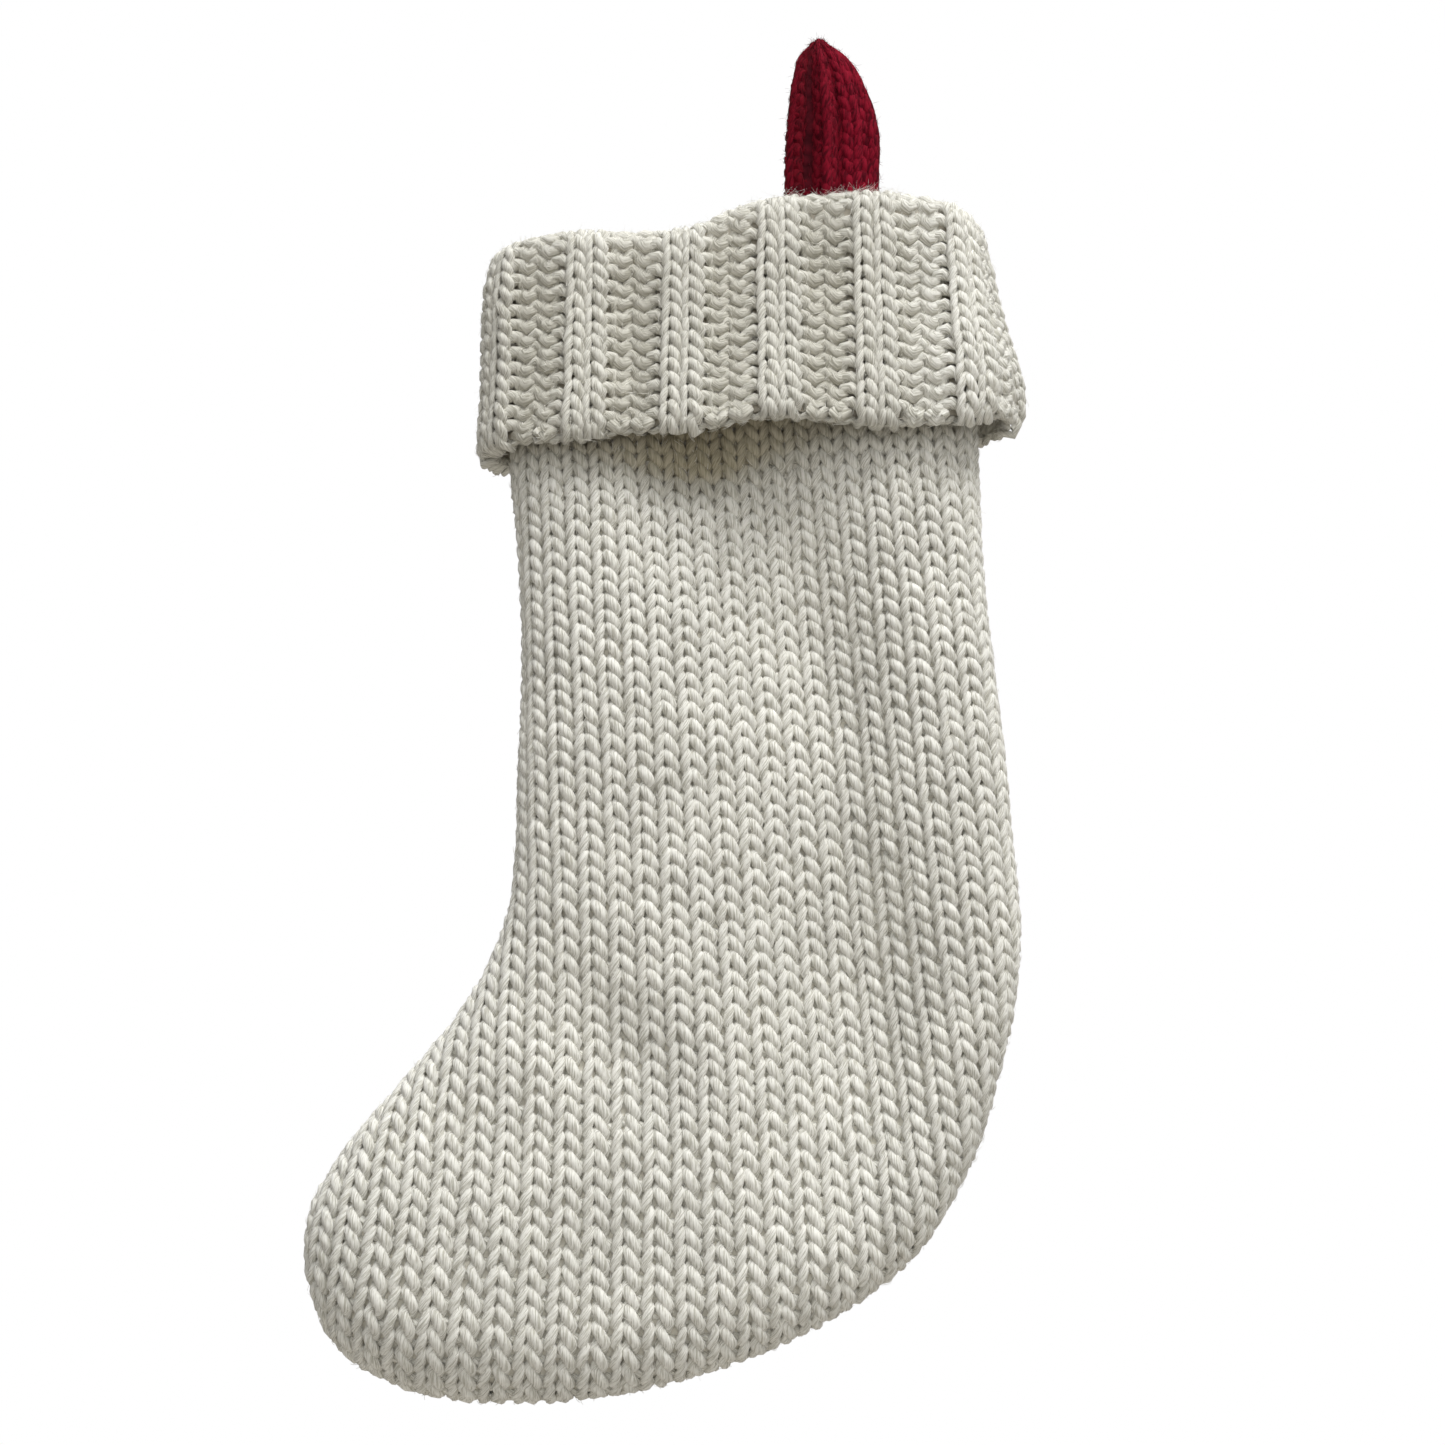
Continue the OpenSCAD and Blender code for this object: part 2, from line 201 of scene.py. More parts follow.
def swell(x, z, side):
    """How the hanging cloth bulges and sinks, in millimetres outward."""
    wave = 0.7 * ripple(x, z, 1.3 + side)
    if side > 0:
        dip = 1.2 * bump_at(x, z, -25, -260, 30, 80)
        return wave - dip + bump_at(x, z, -80, -430, 50, 50)
    middle, depth = along(VALLEY, z)
    valley = -depth * np.exp(-((x - middle) / np.where(x < middle, 38, 24)) ** 2)
    shoulder = 4.4 * bump_at(x, z, -66, -256, 32, 50)
    heel = 4.0 * bump_at(x, z, 14, -458, 42, 40)
    toe = 6.0 * bump_at(x, z, -146, -474, 50, 46)
    along_fold = (x + 113) * 0.61 - (z + 335) * 0.79
    from_fold = (x + 113) * 0.79 + (z + 335) * 0.61
    fold = -6.0 * np.exp(-((from_fold + 10) / 17) ** 2 - ((along_fold - 70) / 32) ** 2)
    return wave + valley + shoulder + heel + toe + fold


# ---- tubes ----
fibre_roots = {}  # by piece: place, way outward and way along the yarn where a fibre may grow


class Yarns:
    """Closed tubes gathered into one mesh, with how far along and around each point lies."""

    def __init__(self):
        self.verts, self.quads, self.tris, self.uv_quads, self.uv_tris = [], [], [], [], []
        self.roots, self.recess = [], []
        self.count = 0

    def add(self, path, normal, radius, sides=SIDES, flat=YARN_FLAT, recess=0.0):
        """One closed tube along a path. flat is its depth, out of the cloth, for its width; its last
        argument is the shade painted on its colour.
        """
        n = len(path)
        if n < 3:
            return
        tangent = unit(np.gradient(path, axis=0))
        across = unit(np.cross(tangent, normal))
        up = np.cross(across, tangent)
        a = np.arange(sides) * TAU / sides
        radius = np.broadcast_to(radius, n)
        ring = (np.cos(a)[:, None] * across[:, None] + flat * np.sin(a)[:, None] * up[:, None])
        along_yarn = np.broadcast_to(tangent[:, None], ring.shape)
        outward = unit(ring)
        ring = ring * radius[:, None, None] + path[:, None]
        self.roots.append(np.concatenate([ring, outward, along_yarn], 2).reshape(-1, 9))
        length = arc_length(path) + rng.uniform(0, 900)
        i = np.arange(n - 1)[:, None] * sides
        k = np.arange(sides)[None]
        k2 = (k + 1) % sides
        quads = np.stack([i + k, i + sides + k, i + sides + k2, i + k2], -1).reshape(-1, 4)
        u0, u1 = np.repeat(length[:-1], sides), np.repeat(length[1:], sides)
        v0 = np.tile(np.arange(sides) / sides, n - 1)
        v1 = v0 + 1 / sides
        uv = np.stack([np.stack([u0, v0], 1), np.stack([u1, v0], 1),
                       np.stack([u1, v1], 1), np.stack([u0, v1], 1)], 1)
        caps = []
        for last in (0, 1):
            end = last * (n - 1) * sides
            order = [end + k[0], end + k2[0]] if last else [end + k2[0], end + k[0]]
            caps.append(np.stack([*order, np.full(sides, n * sides + last)], 1))
        tips = np.stack([path[0] - tangent[0] * radius[0] * 0.5,
                         path[-1] + tangent[-1] * radius[-1] * 0.5])
        tris = np.concatenate(caps)
        self.verts.append(np.concatenate([ring.reshape(-1, 3), tips]))
        self.recess.append(np.append(np.repeat(np.broadcast_to(recess, n), sides), [0, 0]))
        self.quads.append(quads + self.count)
        self.tris.append(tris + self.count)
        self.uv_quads.append(uv.reshape(-1, 2))
        self.uv_tris.append(np.tile([length[0], 0.5], (3 * len(tris), 1)))
        self.count += n * sides + 2

    def piece(self, name, material):
        verts = np.concatenate(self.verts)
        quads, tris = np.concatenate(self.quads), np.concatenate(self.tris)
        uv = np.concatenate(self.uv_quads + self.uv_tris)
        fibre_roots[name] = np.concatenate(self.roots)
        piece = new_piece(name, verts, quads, tris, material, uv)
        # Painted shade of each point, which yarn_material reads to darken the colour
        recess = piece.data.attributes.new("recess", "FLOAT", "POINT")
        recess.data.foreach_set("value", np.concatenate(self.recess))
        return piece


def new_piece(name, verts, quads, tris, material, uv=None):
    """Blender object from points in millimetres and faces; uv has one row per face corner."""
    mesh = bpy.data.meshes.new(name)
    mesh.vertices.add(len(verts))
    mesh.vertices.foreach_set("co", (np.asarray(verts) * MM).ravel())
    loops = np.concatenate([np.asarray(quads, int).ravel(), np.asarray(tris, int).ravel()])
    sizes = np.concatenate([np.full(len(quads), 4), np.full(len(tris), 3)]).astype(int)
    mesh.loops.add(len(loops))
    mesh.loops.foreach_set("vertex_index", loops)
    mesh.polygons.add(len(sizes))
    mesh.polygons.foreach_set("loop_start", np.concatenate([[0], np.cumsum(sizes)[:-1]]))
    mesh.polygons.foreach_set("loop_total", sizes)
    mesh.polygons.foreach_set("use_smooth", np.ones(len(sizes), bool))
    if uv is not None:
        mesh.uv_layers.new(name="yarn").data.foreach_set("uv", uv.ravel())
    mesh.update(calc_edges=True)
    mesh.validate()
    mesh.materials.append(material)
    piece = bpy.data.objects.new(name, mesh)
    bpy.context.scene.collection.objects.link(piece)
    return piece


def sheet_between(name, outer, inner, material):
    """Closed thin sheet between two grids of points of the same shape."""
    rows, cols = outer.shape[:2]
    far = rows * cols
    i = np.arange(rows - 1)[:, None] * cols + np.arange(cols - 1)[None]
    i = i.ravel()
    front = np.stack([i, i + 1, i + cols + 1, i + cols], 1)
    back = front[:, ::-1] + far
    r = np.arange(rows - 1) * cols
    left = np.stack([r, r + cols, far + r + cols, far + r], 1)
    right = np.stack([r + cols - 1, far + r + cols - 1, far + r + 2 * cols - 1, r + 2 * cols - 1], 1)
    c = np.arange(cols - 1)
    top = np.stack([c, far + c, far + c + 1, c + 1], 1)
    e = (rows - 1) * cols + c
    foot = np.stack([e, e + 1, far + e + 1, far + e], 1)
    verts = np.concatenate([outer.reshape(-1, 3), inner.reshape(-1, 3)])
    return new_piece(name, verts, np.concatenate([front, back, left, right, top, foot]),
                     np.zeros((0, 3), int), material)


# ---- materials ----
def node_maker(material):
    """Short way to add a node to a material or world: its inputs are links or plain values."""
    tree = material.node_tree

    def make(kind, inputs=(), **settings):
        node = tree.nodes.new(kind)
        for key, value in settings.items():
            setattr(node, key, value)
        for key, value in dict(inputs).items():
            if hasattr(value, "is_linked"):
                tree.links.new(value, node.inputs[key])
            else:
                node.inputs[key].default_value = value
        return node
    return make


FURROW = 0.6  # painted shade of the yarn in a furrow: it is 0 in the open and 1 close under the flap, where it paints the flap's shadow


def yarn_material(name, dark, light, streaks, twist, gloss, sheen, bump_mm, shaded=0.0,
                  specular=0.16):
    """Lustrous spun yarn: fine streaks run along it with a slight twist; they are partly the fibres'
    own tone and partly painted sheen.
    streaks is how fine they are around it, twist is in radians per mm, gloss the roughness,
    shaded how much darker its colour is painted as shade in a furrow; it is darker still in the
    flap's painted shadow."""
    material = bpy.data.materials.new(name)
    material.use_nodes = True
    make = node_maker(material)
    shader = material.node_tree.nodes["Principled BSDF"]

    def math_node(operation, a, b=0.0):
        return make("ShaderNodeMath", {0: a, 1: b}, operation=operation).outputs[0]

    place = make("ShaderNodeSeparateXYZ", {0: make("ShaderNodeUVMap", uv_map="yarn").outputs[0]})
    length, around = place.outputs[0], place.outputs[1]
    angle = math_node("ADD", math_node("MULTIPLY", around, TAU),
                      math_node("MULTIPLY", length, twist))
    spot = make("ShaderNodeCombineXYZ", {
        0: math_node("MULTIPLY", math_node("COSINE", angle), streaks),
        1: math_node("MULTIPLY", math_node("SINE", angle), streaks),
        2: math_node("MULTIPLY", length, 0.13)}).outputs[0]
    fibre = make("ShaderNodeTexNoise",
                 {"Vector": spot, "Scale": 1.6, "Detail": 3.0, "Roughness": 0.6})
    position = make("ShaderNodeNewGeometry").outputs["Position"]
    cloud = make("ShaderNodeTexNoise", {"Vector": position, "Scale": 38.0, "Detail": 2.0})
    shade = make("ShaderNodeValToRGB", {0: fibre.outputs[0]})
    shade.color_ramp.elements[0].position = 0.38
    shade.color_ramp.elements[0].color = (*dark, 1)
    shade.color_ramp.elements[1].position = 0.54
    shade.color_ramp.elements[1].color = (*light, 1)
    # Painted sheen: the brightest stop, lighter than the yarn's own light colour
    filament_sheen = shade.color_ramp.elements.new(0.66)
    filament_sheen.color = (*[1.09 * part for part in light], 1)
    tint = make("ShaderNodeMapRange", {0: cloud.outputs[0], 1: 0.3, 2: 0.7, 3: 0.94, 4: 1.04})
    # Painted shade: the attribute darkens and warms the colour, by shaded in a furrow and more in
    # the flap's painted shadow
    recess = make("ShaderNodeAttribute", attribute_name="recess").outputs["Fac"]
    keep = make("ShaderNodeValToRGB", {0: recess})
    keep.color_ramp.elements[0].color = (1, 1, 1, 1)
    keep.color_ramp.elements[1].color = (1 - 1.6 * shaded, 1 - 1.75 * shaded, 1 - 2.1 * shaded, 1)
    furrow = keep.color_ramp.elements.new(FURROW)
    furrow.color = (1 - shaded, 1 - 1.04 * shaded, 1 - 1.16 * shaded, 1)
    deep = make("ShaderNodeVectorMath", {0: shade.outputs[0], 1: keep.outputs[0]},
                operation="MULTIPLY")
    mixed = make("ShaderNodeVectorMath", {0: deep.outputs[0]}, operation="SCALE")
    material.node_tree.links.new(tint.outputs[0], mixed.inputs["Scale"])
    bump = make("ShaderNodeBump", {"Strength": 0.85, "Distance": bump_mm * MM,
                                   "Height": fibre.outputs[0]})
    material.node_tree.links.new(mixed.outputs[0], shader.inputs["Base Color"])
    material.node_tree.links.new(bump.outputs[0], shader.inputs["Normal"])
    shader.inputs["Roughness"].default_value = gloss
    shader.inputs["Specular IOR Level"].default_value = specular
    shader.inputs["Sheen Weight"].default_value = sheen
    shader.inputs["Sheen Roughness"].default_value = 0.45
    return material


def cloth_material(name, dark, light, scale):
    """Soft cells, darker between them, for the ground behind the knitting and for stray fibres."""
    material = bpy.data.materials.new(name)
    material.use_nodes = True
    make = node_maker(material)
    shader = material.node_tree.nodes["Principled BSDF"]
    position = make("ShaderNodeNewGeometry").outputs["Position"]
    cells = make("ShaderNodeTexVoronoi", {"Vector": position, "Scale": scale})
    shade = make("ShaderNodeValToRGB", {0: cells.outputs["Distance"]})
    shade.color_ramp.elements[0].color = (*light, 1)
    shade.color_ramp.elements[1].position = 0.7
    shade.color_ramp.elements[1].color = (*dark, 1)
    bump = make("ShaderNodeBump", {"Strength": 0.7, "Distance": 0.6 * MM,
                                   "Height": cells.outputs["Distance"]})
    bump.invert = True
    material.node_tree.links.new(shade.outputs[0], shader.inputs["Base Color"])
    material.node_tree.links.new(bump.outputs[0], shader.inputs["Normal"])
    shader.inputs["Roughness"].default_value = 0.9
    shader.inputs["Specular IOR Level"].default_value = 0.1
    return material


cream = yarn_material("cream_yarn", (0.55, 0.535, 0.46), (0.89, 0.88, 0.815),
                      1.9, 0.3, 0.62, 0.25, 0.8, shaded=0.3)
crimson = yarn_material("crimson_yarn", (0.09, 0.002, 0.009), (0.25, 0.006, 0.022),
                        1.15, 0.22, 0.8, 0.02, 0.6, shaded=0.58, specular=0.05)
seam_yarn = yarn_material("seam_yarn", (0.50, 0.46, 0.37), (0.80, 0.77, 0.68),
                          1.6, 0.9, 0.6, 0.15, 0.5)
thread = yarn_material("sewing_thread", (0.52, 0.49, 0.42), (0.85, 0.82, 0.74),
                       1.4, 3.0, 0.5, 0.1, 0.2)
fibre_mat = cloth_material("stray_fibre", (0.86, 0.84, 0.77), (0.95, 0.94, 0.89), 900)
red_fibre = cloth_material("red_fibre", (0.10, 0.002, 0.009), (0.2, 0.004, 0.017), 900)
cream_ground = cloth_material("cream_ground", (0.74, 0.71, 0.62), (0.88, 0.86, 0.78), 260)
# Painted shade: the next two sheets are darker than their yarns, to stand for the shade seen through
# the gaps
rib_ground_painted_shade = cloth_material("rib_ground_painted_shade", (0.50, 0.46, 0.38), (0.68, 0.64, 0.55), 260)
red_ground_painted_shade = cloth_material("red_ground_painted_shade", (0.04, 0.001, 0.004), (0.1, 0.003, 0.01), 260)


# ---- knitting ----
def course(spots, row_pitch, face, jitter=0.25, lean=LOOP_LEAN, shear=LOOP_SHEAR, uneven=0.05):
    """One row of stitches in cloth coordinates: wale, across, up, out, radius, side.
    spots are borders and middles of the wales by turns; face is +1 for knit and -1 for purl.
    uneven is how much thicker one leg of a knit stitch is than the other."""
    wales = len(face)
    t = np.arange(wales * SEGMENTS + 1) / SEGMENTS
    phase = TAU * t
    half_t = np.arange(2 * wales + 1) / 2
    side = np.interp(t, np.sort(np.concatenate([np.arange(wales) + 0.2, np.arange(wales) + 0.8])),
                     np.repeat(face, 2))
    up = row_pitch * np.interp(side, [-1, 1], [PURL_REACH, KNIT_REACH]) * np.cos(phase)
    eased = t + lean * (0.75 + 0.25 * side) / TAU * np.sin(2 * phase) + LOOP_PINCH * np.sin(phase)
    across = np.interp(eased, half_t, spots) - shear * up * np.clip(side, 0.2, 1)
    out = -side * LOOP_DEPTH * np.cos(2 * phase)
    noise = rng.normal(0, 1, (4, 2 * wales + 1))
    wobble = [np.interp(t, half_t, n) for n in noise]
    across = across + jitter * wobble[0] * (0.75 + 0.25 * side)
    up = up + jitter * wobble[1]
    out = out + 0.7 * jitter * wobble[2]
    radius = (1 + 0.05 * wobble[3] - uneven * np.sin(phase) * np.clip(side, 0, 1)
              - 0.14 * np.cos(phase) * np.clip(-side, 0, 1))
    return t, across, up, out, radius, side


def halves(edges):
    """Borders of wales with their middles put between them."""
    spots = np.empty(2 * len(edges) - 1)
    spots[::2] = edges
    spots[1::2] = (edges[:-1] + edges[1:]) / 2
    return spots


# ---- body panels ----
def way_down(z):
    """How far down the panel a height is, from 0 at the join to about 1 at the sole."""
    return (JOIN_Z - z) / 400


def wale_pitch(z):
    s = way_down(z)
    return 9.25 + 0.75 * s + 1.55 * np.maximum(s, 0) ** 4


def wale_lean(z):
    """Where the middle wale runs, across."""
    return -40.2 + 0.07 * (JOIN_Z - z)


def row_heights():
    """Rows of the panel from the join down, further apart towards the foot."""
    z, found = JOIN_Z - 1.0, []
    while z > LAST_ROW:
        found.append(z)
        s = way_down(z)
        z -= 5.6 + 0.9 * s + 0.35 * s ** 3
    return found


PANEL_MIDDLE = -60.0    # a panel lies within PANEL_REACH of this place across
PANEL_REACH = 150.0
PANEL_WALES = 50
LAST_ROW = -533.0
CALM_EDGE = 14.0        # the stitches are flatter within this distance of the closing seam
GROUND_SKINS = (3.1, 4.1)  # depths of the ground's two faces
GROUND_INSET = 3.5
GROUND_FOOT = -516.5    # the lowest height of the ground


def painted_flap_shadow(x, z):
    """Painted shadow that the turned-down cuff casts on the body in front. It reaches 6 mm below the
    flap's edge, and 24 mm in the middle, where the flap stands off furthest."""
    flap, = along(FLAP_EDGE, x)
    middle = np.exp(-((x + 50) / 48) ** 2)
    return np.clip((z - flap + 6 + 18 * middle) / 14, 0, 1) * (FURROW + (1 - FURROW) * middle)


def panel_yarns(side, name):
    """Yarn rows of one panel, in two pieces; side is -1 in front and 1 behind."""
    parts = [Yarns(), Yarns()]
    heights = row_heights()
    for row, z_row in enumerate(heights):
        pitch = heights[row - 1] - z_row if row else heights[0] - heights[1]
        spots = (np.arange(2 * PANEL_WALES + 1) - PANEL_WALES) / 2 * wale_pitch(z_row)
        t, across, up, out, radius, _ = course(spots, pitch, np.ones(PANEL_WALES))
        wander = 0.5 * np.sin(across / 23 + 0.8 * row) + 0.3 * np.sin(across / 9 + 2.1 * row)
        z = z_row + up + wander
        across = across + 0.3 * np.sin(z / 31 + 2.3 * np.round(t))
        x = -side * across * wale_pitch(z) / wale_pitch(z_row) + wale_lean(z)
        near = np.where(np.abs(x - PANEL_MIDDLE) < PANEL_REACH)[0]
        place, normal = np.zeros((2, len(t), 3))
        edge = np.full(len(t), -np.inf)
        place[near], normal[near], edge[near] = body_surface(x[near], z[near], side)
        run = np.where(edge > -MID)[0]
        if len(run) < 6:
            continue
        run = np.arange(run[0], run[-1] + 1)
        fade = np.clip((place[run, 1] * side) / MID_DEPTH, 0, 1) ** 2
        wave = swell(x[run], z[run], side) * fade
        calm = 0.45 + 0.55 * np.clip(edge[run] / CALM_EDGE, 0, 1)
        path = place[run] + normal[run] * (calm * out[run] + wave)[:, None]
        # The front's yarns also carry the painted shadow of the flap above them
        parts[int(z_row < FOOT_TOP)].add(path, normal[run], YARN_R * radius[run],
                                         recess=painted_flap_shadow(x[run], z[run]) * (side < 0))
    return [yarns.piece(f"{name}_{part}", cream) for yarns, part in zip(parts, ("leg", "foot"))]


def panel_ground(side, name):
    """Thin ground behind the yarns, from the join to the sole."""
    share = (1 - np.cos(np.linspace(0, math.pi, 25))) / 2
    rows = smooth(BODY_OUTLINE, 2)
    skins = []
    for depth in GROUND_SKINS:
        grid = []
        for z, left, right in rows:
            x = left + (right - left) * share
            inset = np.clip(x, left + GROUND_INSET, right - GROUND_INSET)
            level = np.full_like(x, max(z, GROUND_FOOT))
            p, n, _ = body_surface(inset, level, side)
            fade = np.clip(p[:, 1] * side / MID_DEPTH, 0, 1) ** 2
            grid.append(p - n * (depth - MID - swell(inset, level, side) * fade)[:, None])
        skins.append(np.array(grid))
    if side > 0:
        skins = [s[:, ::-1] for s in skins]
    return sheet_between(name, skins[0], skins[1], cream_ground)


# ---- cuff band ----
def band_station(w, side):
    """Base point, outward normal, end share and which end, for w from 0 at the left seam to 1."""
    left, right = body_rows[0, 1], body_rows[0, 2]
    quarter = edge_arc[-1]
    straight = right - left - 2 * EDGE_ROUND
    s = w * (2 * quarter + straight)
    end = np.where(s < quarter + straight / 2, -1.0, 1.0)
    from_end = np.where(end < 0, s, 2 * quarter + straight - s)
    angle = np.interp(from_end, edge_arc, edge_angle)
    round_in = EDGE_ROUND * (1 - np.cos(angle))
    x = np.where(end < 0, left + round_in, right - round_in)
    flat = from_end > quarter
    x = np.where(flat, left + EDGE_ROUND + (s - quarter), x)
    nx, ny = end * np.cos(angle) / EDGE_ROUND, np.sin(angle) / HALF_DEPTH
    size = np.hypot(nx, ny)
    return x, side * HALF_DEPTH * np.sin(angle), nx / size, side * ny / size, np.cos(angle), end


class Band:
    """Surface of half of the cuff: across in mm along the flap, up in mm from the flap's edge."""

    def __init__(self, side):
        w = np.linspace(0, 1, 161)
        x, y, nx, ny, endness, end = band_station(w, side)
        rim, = along(RIM, x)
        low, = along(FLAP_EDGE, x)
        if side > 0:
            low = low + BACK_FLAP_LIFT * (1 - endness)
        low = low + 1.8
        path = []
        middle = FLAP_BULGE * np.exp(-((x + 32) / 42) ** 2) if side < 0 else 0
        for front, left, right, share, drop in BAND_PATH:
            off = front + (np.where(end < 0, left, right) - front) * endness
            off = off + middle * max(share, 0) ** 2
            if share == JOIN:
                z = JOIN_Z + drop * (rim - BAND_TOP - JOIN_Z)
            else:
                z = rim + share * (low - rim) - drop
            path.append(np.stack([x + nx * off, y + ny * off, z], 1))
        fine = smooth(np.array(path).reshape(len(path), -1), 8).reshape(-1, len(w), 3)[::-1]
        lengths = [arc_length(fine[:, i]) for i in range(len(w))]
        self.height = min(length[-1] for length in lengths)
        self.ups = np.arange(0, self.height, 1.0)
        grid = np.stack([np.stack([np.interp(self.ups, length, fine[:, i, c]) for c in range(3)], 1)
                         for i, length in enumerate(lengths)], 1)
        self.crest = np.array([length[fine[:, i, 2].argmax()] for i, length in enumerate(lengths)])
        if side > 0:
            grid = grid[:, ::-1]
            self.crest = self.crest[::-1]
        self.grid = grid
        self.arc = arc_length(grid[len(self.ups) // 3])
        self.width = self.arc[-1]
        self.normal = unit(np.cross(np.gradient(grid, axis=1), np.gradient(grid, axis=0)))

    def at(self, across, up):
        """Places and outward normals on the band's middle surface."""
        col = np.interp(across, self.arc, np.arange(len(self.arc)))
        row = np.clip(up, 0, len(self.ups) - 1.001)
        col = np.clip(col, 0, len(self.arc) - 1.001)
        i, j = row.astype(int), col.astype(int)
        f, g = (row - i)[:, None], (col - j)[:, None]

        def mix(a):
            return ((a[i, j] * (1 - g) + a[i, j + 1] * g) * (1 - f)
                    + (a[i + 1, j] * (1 - g) + a[i + 1, j + 1] * g) * f)
        return mix(self.grid), unit(mix(self.normal))


RIB_GAPS = [6.4, 11.1, 8.2, 11.1]  # between wale middles: knit to knit, on to purl, purl, on to knit
RIB_FACES = [1, 1, -1, -1]
CUFF_ROW = 5.95
CUFF_PAINTED_SHADE = [0.58, 0.4, 0.3]  # painted shade of the furrows, of the steps beside them and of the ribs


def cuff_yarns(side, name, first_rib):
    """Rib rows of half of the cuff. first_rib is the middle of a raised rib, from the left."""
    band = Band(side)
    middles, faces = [], []
    place = first_rib - RIB_GAPS[0] / 2 - 6 * sum(RIB_GAPS)
    while place < band.width + 40:
        middles.append(place)
        faces.append(RIB_FACES[len(faces) % 4])
        place += RIB_GAPS[(len(middles) - 1) % 4]
    first = max(i for i in range(len(middles)) if middles[i] < -20)
    middles, faces = np.array(middles[first:]), np.array(faces[first:], float)
    borders = (middles[:-1] + middles[1:]) / 2
    spots = np.empty(2 * len(borders) - 1)
    spots[::2], spots[1::2] = borders, middles[1:-1]
    faces = faces[1:-1]
    yarns = Yarns()
    rows = int((band.height - 4) / CUFF_ROW)
    for row in range(rows):
        up_row = 3.4 + row * CUFF_ROW
        _, across, up, out, radius, face = course(spots, CUFF_ROW, faces, 0.32, 1.35, 0.19, 0.14)
        run = np.where((across > 0.4) & (across < band.width - 0.4))[0]
        run = np.arange(run[0], run[-1] + 1)
        up = up + 0.4 * np.sin(across / 19 + 1.1 * row)
        height = up_row + up[run]
        p, n = band.at(across[run], np.maximum(height, 0.3))
        fold = np.exp(-((height - np.interp(across[run], band.arc, band.crest)) / 12) ** 2)
        relief = np.interp(face[run], [-1, 1], [-2.3, 1.5]) * (1 - 0.65 * fold)
        wave = ripple(across[run] * 1.3, height, 2.1 + side)
        path = p + n * (0.9 * out[run] * (1 - 0.4 * fold) + relief + 0.8 * wave)[:, None]
        # Painted shade, less on the fold over the rim; painted light on the front's right end, which
        # faces the key light and loses most of it; the back keeps 0.6 of it
        recess = np.interp(face[run], [-1, 0, 1], CUFF_PAINTED_SHADE) * (1 - 0.5 * fold)
        recess *= 1 - 0.8 * np.clip((p[:, 0] - 15) / 25, 0, 1) if side < 0 else 0.6
        yarns.add(path, n, radius[run] * np.interp(face[run], [-1, 0, 1], [2.45, 2.6, 1.75]),
                  recess=recess)
    edge_t = np.arange(2, band.width - 2, 1.2)
    p, n = band.at(edge_t, np.full_like(edge_t, 1.2) + 0.8 * np.sin(edge_t * TAU / 5.5))
    yarns.add(p + n * (0.5 * np.cos(edge_t * TAU / 5.5))[:, None], n, 1.5, recess=CUFF_PAINTED_SHADE[1])
    return yarns.piece(name, cream), band


def cuff_ground(band, name):
    """Thin ground behind the rib, coloured darker than the yarn as painted shade seen through its
    gaps; it lies deeper under the flap than on the rim.
    """
    step = 4
    grid, normal = band.grid[::step, ::step], band.normal[::step, ::step]
    ups = band.ups[::step, None]
    deep = np.clip((band.crest[None, ::step] - 10 - ups) / 14, 0, 1) * np.clip(ups / 10, 0, 1)
    depth = (0.7 + 1.7 * deep)[..., None]
    return sheet_between(name, grid - normal * depth, grid - normal * (depth + 0.8), rib_ground_painted_shade)


# ---- strap loop ----
STRAP_HALF = 18.0       # half width of the strap where it lies flat
STRAP_WALES = [-1.12, -0.66, -0.2, 0.1, 0.48, 0.84, 1.12]  # borders, as shares of the half width
STRAP_ROW = 5.2
STRAP_STEP = 0.5        # between two points of its centre line
# Height of the strap's face and its painted shade, deepest in the furrows and down the left side,
# which faces away from the light, by the share of the half width
STRAP_RELIEF = [(-1, 0.2), (-0.84, -0.1), (-0.62, -2.7), (-0.38, -1.5), (-0.1, 2.1), (0.12, -1.3),
                (0.35, 0.5), (0.6, 0.8), (0.82, -0.9), (0.95, 0.3)]
STRAP_SHADE = [(-1, 0.6), (-0.8, 0.8), (-0.62, 1), (-0.42, 0.85), (-0.1, 0.3), (0.12, 0.55),
               (0.35, 0.2), (0.7, 0.15), (0.82, 0.3), (1, 0.3)]
# Height and distance from the middle of one side of the loop, and the tails' line in (y, z)
STRAP_SIDE = [(-58.5, 2.35), (-52, 2.9), (-44, 3.7), (-35, 4.9), (-25, 5.9), (-15, 6.4), (-8, 6.3)]
TAIL_PATH = [(0, -66), (0.6, -72), (2.6, -80), (5, -88), (6.3, -96), (6.5, -106), (6.5, -116)]


def strap_line():
    """Centre line in (y, z) of the whole strap, from the front tail over the hook to the back."""
    leg = [(-gap, z) for z, gap in STRAP_SIDE]
    top_z, top_gap = STRAP_SIDE[-1]
    rise = 4.9 - top_z
    turn = [(-top_gap * math.cos(math.pi * k / 8), top_z + rise * math.sin(math.pi * k / 8))
            for k in range(1, 8)]
    back = [(-y, z) for y, z in leg[::-1]]
    front_tail = [(y - 2.2, z) for y, z in TAIL_PATH[::-1]]
    back_tail = [(y + 2.2, z) for y, z in TAIL_PATH]
    line = smooth(front_tail + leg + turn + back + back_tail, 6)
    return resample(line, STRAP_STEP)[1]


